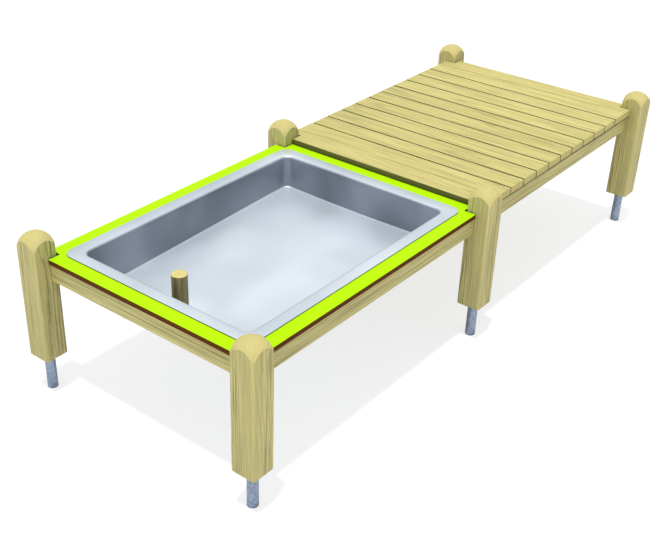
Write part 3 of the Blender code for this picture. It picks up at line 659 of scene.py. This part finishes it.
def make_post(number):
    """Square timber with eased edges, cut round on top by a sphere, with a recess for its screw."""
    px, py = post_place(number)
    outline = rounded_outline(-POST_HALF, POST_HALF, -POST_HALF, POST_HALF, POST_EDGE_R, 6, 14)
    rings = []
    for inset, lift in ((0.0022, 0.0), (0.0006, 0.0006), (0.0, 0.0022)):
        ring = offset_outline(outline, inset) if inset else outline
        rings.append([(px + x, py + y, POST_BOTTOM + lift) for x, y in ring])
    for scale in DOME_SCALES:
        rings.append([(px + x * scale, py + y * scale, dome_height(math.hypot(x, y) * scale))
                      for x, y in outline])
    bm = bmesh.new()
    skin(bm, rings)
    rng = random.Random(100 + number)
    heart = (px + rng.uniform(-0.07, -0.045), py + rng.uniform(0.05, 0.085), 0.0)
    look = wood("post_pine_%d" % number, "z", heart, 10 + number, PINE_LIGHT, PINE_DARK, ring=0.0090,
                wave=0.62, depth=1.0, streak=0.20, end=(0.96, 0.93, 0.85), end_from=0.55, corner_lift=0.06,
                fine=340.0, quiet=((px, py, 0.0), (-0.8, -0.6, 0.0)))
    post = piece("post_timber_%d" % number, bm, [look], "post_%d" % number, POST_SHARP)
    recess = bmesh.new()
    lathe(recess, ((RECESS_R, 0.005), (RECESS_R, -RECESS_DEPTH)), 40,
          towards((px + POST_HALF, py, SCREW_Z), (1, 0, 0)))
    carve(post, recess, POST_SHARP)


def make_anchor(number):
    """Ground tube and the coach screw with its washer that pins it in the post."""
    px, py = post_place(number)
    inner = TUBE_R - TUBE_WALL
    top = POST_BOTTOM + TUBE_OVERLAP
    profile = ((TUBE_R - 0.0008, 0.0), (TUBE_R, 0.0008), (TUBE_R, 0.05), (TUBE_R, 0.10), (TUBE_R, top),
               (inner, top), (inner, 0.0006), (inner + 0.0005, 0.0))
    bm = bmesh.new()
    lathe(bm, profile, 56, Matrix.Translation((px, py, 0.0)), loop=True)
    piece("ground_tube_%d" % number, bm, [zinc], "anchor_tube_%d" % number, 40.0)

    stand = towards((px + POST_HALF - RECESS_DEPTH, py, SCREW_Z), (1, 0, 0))
    bm = bmesh.new()
    lathe(bm, WASHER, 36, stand)
    lathe(bm, HEX_HEAD, 6, stand)
    piece("coach_screw_%d" % number, bm, [zinc], "anchor_screw_%d" % number, 30.0)


# ---- rails and battens ---------------------------------------------------------------------
def dress_rails():
    """The sawn rails and battens keep their shape and get a log of their own."""
    rng = random.Random(7)
    timbers = sorted(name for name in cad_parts
                     if "rail" in name or name.endswith(("batten_front", "batten_back")))
    for index, name in enumerate(timbers):
        low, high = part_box(name)
        x, y, z = (low + high) / 2
        off = rng.uniform(0.05, 0.09)
        aside = rng.choice((-1, 1)) * off
        if name.endswith(("front", "back")):
            along, heart = "x", (x, y + aside, z - 0.06)
        else:
            along, heart = "y", (x + aside, y, z - 0.06)
        # the deck rails get a band of painted shade just under the deck boards
        look = wood("pine_" + name, along, heart, 40 + index, PINE_LIGHT, PINE_DARK, ring=0.011, depth=0.50,
                    wave=0.50, streak=0.18, fine=200.0, shadow_line=RAIL_SHADOW_LINE if "rail_deck" in name else None)
        dress(name, look)


# ---- panel -----------------------------------------------------------------------------------
def make_panel():
    """Brown board with a thin lime facing on its top, notched at the posts and open for the basin."""
    x0, _, _ = panel_low
    x1, y1, _ = panel_high
    nx0, nx1, ny = -BAY + PANEL_NOTCH, -PANEL_NOTCH, HALF_W - PANEL_NOTCH
    outer = [(nx0, y1), (nx0, ny), (x0, ny), (x0, -ny), (nx0, -ny), (nx0, -y1),
             (nx1, -y1), (nx1, -ny), (x1, -ny), (x1, ny), (nx1, ny), (nx1, y1)]
    rings = [
        at_height(offset_outline(outer, 0.0006), PANEL_Z),
        at_height(outer, PANEL_Z + 0.0006),
        at_height(outer, PANEL_TOP - LIME_SKIN),
        at_height(offset_outline(outer, 0.0001), PANEL_TOP - 0.0002),
        at_height(offset_outline(outer, 0.0005), PANEL_TOP),
    ]
    bm = bmesh.new()
    skin(bm, rings, slots=[1, 1, 0, 0])
    for face in bm.faces:
        if len(face.verts) == len(outer):
            face.material_index = 0 if face.calc_center_median().z > PANEL_TOP - 0.001 else 1
    panel = piece("panel_board", bm, [lime, core], "table_panel", 20.0)
    hole = bmesh.new()
    cut = rounded_outline(-BAY + CUTOUT_INSET, -CUTOUT_INSET, -HALF_W + CUTOUT_INSET,
                          HALF_W - CUTOUT_INSET, CUTOUT_R, 10)
    skin(hole, [at_height(cut, PANEL_Z - CUT_OVER), at_height(cut, PANEL_TOP + CUT_OVER)])
    carve(panel, hole, 20.0)


# ---- basin -------------------------------------------------------------------------------------
FLOOR_SHARES = (0.06, 0.15, 0.26, 0.38, 0.50, 0.62, 0.74, 0.85, 0.93, 0.97)


def floor_height(x, y):
    return FLOOR_Z + FLOOR_FALL * abs(x - DRAIN_X) + FLOOR_DISH * (y / (HALF_W - WALL_INSET)) ** 2


def basin_outline(inset, radius):
    return rounded_outline(-BAY + inset, -inset, -HALF_W + inset, HALF_W - inset, radius, 10, 14)


def basin_side(drop):
    """Rings of one side of the sheet, from the rim's bend down the wall and in to the drain.

    drop is how far the side lies below the upper side of the sheet.
    """
    radius = BEND_R - drop
    corner = WALL_R + BEND_R
    bend_z = RIM_TOP - BEND_R
    rings = []
    for step in range(9):
        a = math.radians(90.0 * step / 8)
        spread = radius * math.sin(a)
        ring = basin_outline(WALL_INSET - BEND_R + spread, corner - spread)
        rings.append(at_height(ring, bend_z + radius * math.cos(a)))
    wall = WALL_INSET - drop
    wall_corner = WALL_R + drop
    for share in (0.25, 0.5, 0.75):
        rings.append([(x, y, bend_z + (floor_height(x, y) + FLOOR_FILLET - drop - bend_z) * share)
                      for x, y in basin_outline(wall, wall_corner)])
    for step in range(7):
        turn = math.radians(90.0 * step / 6)
        inward = FLOOR_FILLET * (1.0 - math.cos(turn))
        lift = FLOOR_FILLET * (1.0 - math.sin(turn))
        ring = basin_outline(wall + inward, wall_corner - inward)
        rings.append([(x, y, floor_height(x, y) + lift - drop) for x, y in ring])
    outer = basin_outline(wall + FLOOR_FILLET, wall_corner - FLOOR_FILLET)
    for share in FLOOR_SHARES:
        ring = []
        for x, y in outer:
            away = Vector((x - DRAIN_X, y))
            spot = away.lerp(away.normalized() * DRAIN_FLAT_R, share)
            px, py = DRAIN_X + spot.x, spot.y
            ring.append((px, py, floor_height(px, py) - drop))
        rings.append(ring)
    flat = (Vector((x - DRAIN_X, y)).normalized() * DRAIN_FLAT_R for x, y in outer)
    rings.append([(DRAIN_X + edge.x, edge.y, FLOOR_Z - drop) for edge in flat])
    return rings


def make_basin():
    """Pressed sheet with a turned-down lip; the lip's band gets the black rubber as painted shade where it
    meets the panel.
    """
    lip = RIM_TOP - RIM_LIP
    lip_ring = basin_outline(RIM_INSET + STEEL, RIM_R - STEEL)
    upper = basin_side(0.0)
    rings = list(reversed(upper))
    for inset, drop in ((0.0009, 0.0), (0.00035, 0.0002), (0.0, 0.0009)):
        rings.append(at_height(basin_outline(RIM_INSET + inset, RIM_R - inset), RIM_TOP - drop))
    rings.append(at_height(basin_outline(RIM_INSET, RIM_R), lip))
    rings.append(at_height(lip_ring, lip))
    rings.append(at_height(lip_ring, RIM_TOP - STEEL))
    rings += basin_side(STEEL)
    slots = [0] * (len(rings) - 1)
    # painted shade: the two lip bands take the black rubber, a dark line where the rim meets the panel
    slots[len(upper) + 1] = slots[len(upper) + 2] = 1
    bm = bmesh.new()
    skin(bm, rings, slots=slots)
    basin = piece("basin_sheet", bm, [basin_steel, black], "basin", 50.0)
    hole = bmesh.new()
    place = Matrix.Translation((DRAIN_X, 0.0, FLOOR_Z))
    lathe(hole, ((DRAIN_HOLE_R, -CUT_OVER), (DRAIN_HOLE_R, CUT_OVER)), 64, place)
    carve(basin, hole, 50.0)


# ---- drain and plug ------------------------------------------------------------------------------
def make_drain():
    """Brass fitting with a flange over the floor and an open throat."""
    low, top = DRAIN_BOTTOM, DRAIN_TOP
    profile = (
        (0.0360, DRAIN_SEAT), (0.0358, DRAIN_SEAT + 0.0010), (0.0350, top), (0.0243, top),
        (0.0234, top - 0.0005), (0.0226, top - 0.0016), (0.0195, top - 0.022), (0.0195, low + 0.0006),
        (0.0200, low), (0.0232, low), (0.0240, low + 0.001), (0.0240, DRAIN_SEAT),
    )
    bm = bmesh.new()
    lathe(bm, profile, 72, Matrix.Translation((DRAIN_X, 0.0, 0.0)), loop=True)
    piece("drain_body", bm, [turned_brass], "drain_fitting", 30.0)
    dress("drain_locknut", turned_brass)
    dress("drain_seal", black)
    dress("basin_gasket", black)


def make_plug():
    """Round timber handle on a tapered rubber bung."""
    place = Matrix.Translation((DRAIN_X, 0.0, 0.0))
    foot, top = PLUG_FOOT, PLUG_TOP
    profile = [(0.020, foot), (PLUG_R - 0.001, foot), (PLUG_R - 0.0003, foot + 0.0003)]
    profile.append((PLUG_R, foot + 0.001))
    profile += [(PLUG_R, foot + (top - foot) * share) for share in (0.25, 0.5, 0.75)]
    profile += arc(PLUG_R - PLUG_ROUND, top - PLUG_ROUND, PLUG_ROUND, 0, 90, 5)
    profile += [(0.018, top), (0.010, top), (0.003, top)]
    bm = bmesh.new()
    lathe(bm, profile, 64, place)
    heart = (DRAIN_X + 0.012, 0.035, 0.0)
    # the end tint of about two paints light on the top of the plug over its darkened side tones
    look = wood("plug_pine", "z", heart, 77, PLUG_SHADED_LIGHT, PLUG_SHADED_DARK, ring=0.0045, depth=0.9, wave=0.25,
                streak=0.22, end=(2.15, 2.10, 1.75), end_from=0.6)
    piece("plug_handle", bm, [look], "plug_dowel", 40.0, body="plug")

    high = foot - 0.0003
    low = high - STOPPER_H
    profile = (
        (0.0036, low + 0.004), (0.0075, low + 0.004), (0.0075, low), (0.0166, low), (0.0180, low + 0.0006),
        (0.0190, low + 0.002), (0.0197, low + 0.006), (0.0203, low + 0.010), (0.0210, low + 0.015),
        (0.0216, high - 0.0015), (0.0212, high - 0.0004), (0.0200, high), (0.0036, high),
    )
    bm = bmesh.new()
    lathe(bm, profile, 64, place, loop=True)
    piece("plug_bung", bm, [black], "plug_stopper", 30.0, body="plug")
    dress("plug_screw", basin_steel)


# ---- deck ---------------------------------------------------------------------------------------
def plain_section(x0, x1):
    return rounded_outline(x0, x1, BOARD_Z, BOARD_TOP, BOARD_ROUND, 5)


def joined_section(x0, x1):
    """Section of a double-width board, with the glue line as a fine groove along its middle."""
    points = plain_section(x0, x1)
    middle = (x0 + x1) / 2.0
    wide, narrow, deep = GLUE_LINE
    groove = [(middle + wide, BOARD_TOP), (middle + narrow, BOARD_TOP - deep),
              (middle - narrow, BOARD_TOP - deep), (middle - wide, BOARD_TOP)]
    return points[:6] + groove + points[6:]


def board_rings(section, easings):
    """Sections from the front end to the back end, drawn in at both as the easings say."""
    ends = [(-BOARD_HALF + back, inset) for back, inset in easings]
    ends += [(BOARD_HALF - back, inset) for back, inset in reversed(easings)]
    rings = []
    for y, inset in ends:
        ring = offset_outline(section, inset) if inset else section
        rings.append([(x, y, z) for x, z in ring])
    return rings


def notch_board(board, x0, x1):
    """Cut the corners of an end board clear of the posts."""
    low_x, high_x = (x0 - CUT_OVER, DECK_NOTCH) if x0 < BAY / 2.0 else (BAY - DECK_NOTCH, x1 + CUT_OVER)
    notch = bmesh.new()
    for side in (-1, 1):
        ys = sorted((side * (HALF_W - DECK_NOTCH), side * (BOARD_HALF + CUT_OVER)))
        ring = [(low_x, ys[0]), (high_x, ys[0]), (high_x, ys[1]), (low_x, ys[1])]
        skin(notch, [at_height(ring, BOARD_Z - CUT_OVER), at_height(ring, BOARD_TOP + CUT_OVER)])
    carve(board, notch, 40.0)


def make_boards():
    rng = random.Random(31)
    for number in range(1, BOARD_COUNT + 1):
        node = "deck_board_%02d" % number
        low, high = cad_box(node)
        x0, x1 = low[0], high[0]
        double = number in (1, BOARD_COUNT)
        if double:
            rings = board_rings(joined_section(x0, x1), ((0.0, 0.0),))
        else:
            rings = board_rings(plain_section(x0, x1), ((0.0, 0.0016), (0.0005, 0.0005), (0.0016, 0.0)))
        bm = bmesh.new()
        skin(bm, rings)
        heart = ((x0 + x1) / 2.0 + rng.uniform(-0.03, 0.03), 0.0, BOARD_Z - rng.uniform(0.06, 0.12))
        tone = rng.uniform(0.965, 1.03)
        light = tuple(c * tone for c in DECK_LIGHT[:3]) + (1.0,)
        # the edge colour paints shade on the board faces that look along -X
        # the height band paints the shadow line where the boards sit on the rails
        look = wood("deck_pine_%02d" % number, "y", heart, 60 + number, light, DECK_DARK, ring=0.008,
                    depth=0.52, wave=0.16, streak=0.15, end=(0.97, 0.95, 0.92),
                    edge=FRONT_FACE_SHADE if number == 1 else GAP_SHADE, shadow_line=BOARD_SHADOW_LINE, fine=260.0)
        board = piece("slat_%02d" % number, bm, [look], node, 40.0)
        if double:
            notch_board(board, x0, x1)


def dress_small_parts():
    """Zinc on the nuts and screws that keep their CAD shape."""
    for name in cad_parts:
        if name.startswith("basin_nut") or "batten_screw" in name:
            dress(name, zinc)


# ---- stage -----------------------------------------------------------------------------------------
SKY = (
    (0.0, (0.24, 0.25, 0.27, 1.0)),
    (0.25, (0.44, 0.46, 0.49, 1.0)),
    (0.5, (0.80, 0.83, 0.87, 1.0)),
    (1.0, (0.90, 0.92, 0.95, 1.0)),
)


def make_floor():
    bm = bmesh.new()
    bmesh.ops.create_grid(bm, x_segments=8, y_segments=8, size=40.0)
    floor = new_object("studio_floor", bm)
    floor.data.materials.append(ground("studio_white"))


def make_light():
    """A high soft sun, and a pale dome that darkens below the horizon."""
    sun = bpy.data.lights.new("sun", "SUN")
    sun.energy = 2.1
    sun.angle = math.radians(2.5)
    holder = bpy.data.objects.new("sun", sun)
    holder.rotation_mode = "QUATERNION"
    holder.rotation_quaternion = Vector((0.175, 0.05, -1.0)).to_track_quat("-Z", "Y")
    bpy.context.scene.collection.objects.link(holder)

    world = bpy.data.worlds.new("studio")
    bpy.context.scene.world = world
    world.use_nodes = True
    tree = world.node_tree
    spot = tree.nodes.new("ShaderNodeTexCoord")
    split = tree.nodes.new("ShaderNodeSeparateXYZ")
    ramp = tree.nodes.new("ShaderNodeValToRGB")
    tree.links.new(spot.outputs["Generated"], split.inputs[0])
    tree.links.new(split.outputs["Z"], ramp.inputs["Fac"])
    tree.links.new(ramp.outputs["Color"], tree.nodes["Background"].inputs["Color"])
    set_stops(ramp.color_ramp, SKY)
    tree.nodes["Background"].inputs["Strength"].default_value = 1.0


def make_camera():
    """Above the front corner of the basin end, looking down along the table."""
    data = bpy.data.cameras.new("camera")
    data.lens = 58.34
    data.shift_x = 0.0632
    data.shift_y = 0.0225
    camera = bpy.data.objects.new("camera", data)
    camera.location = (-3.1512, -2.1529, 2.3070)
    forward = Vector((0.66148, 0.54158, -0.51878)).normalized()
    right = Vector((0.63947, -0.76871, 0.01287))
    right = (right - forward * right.dot(forward)).normalized()
    up = right.cross(forward)
    camera.rotation_euler = Matrix((right, up, -forward)).transposed().to_euler()
    bpy.context.scene.collection.objects.link(camera)
    bpy.context.scene.camera = camera


for post_number in range(1, POST_COUNT + 1):
    make_post(post_number)
    make_anchor(post_number)
dress_rails()
make_panel()
make_basin()
make_drain()
make_plug()
make_boards()
dress_small_parts()
make_floor()
make_light()
make_camera()
bpy.context.scene.view_settings.view_transform = "Standard"
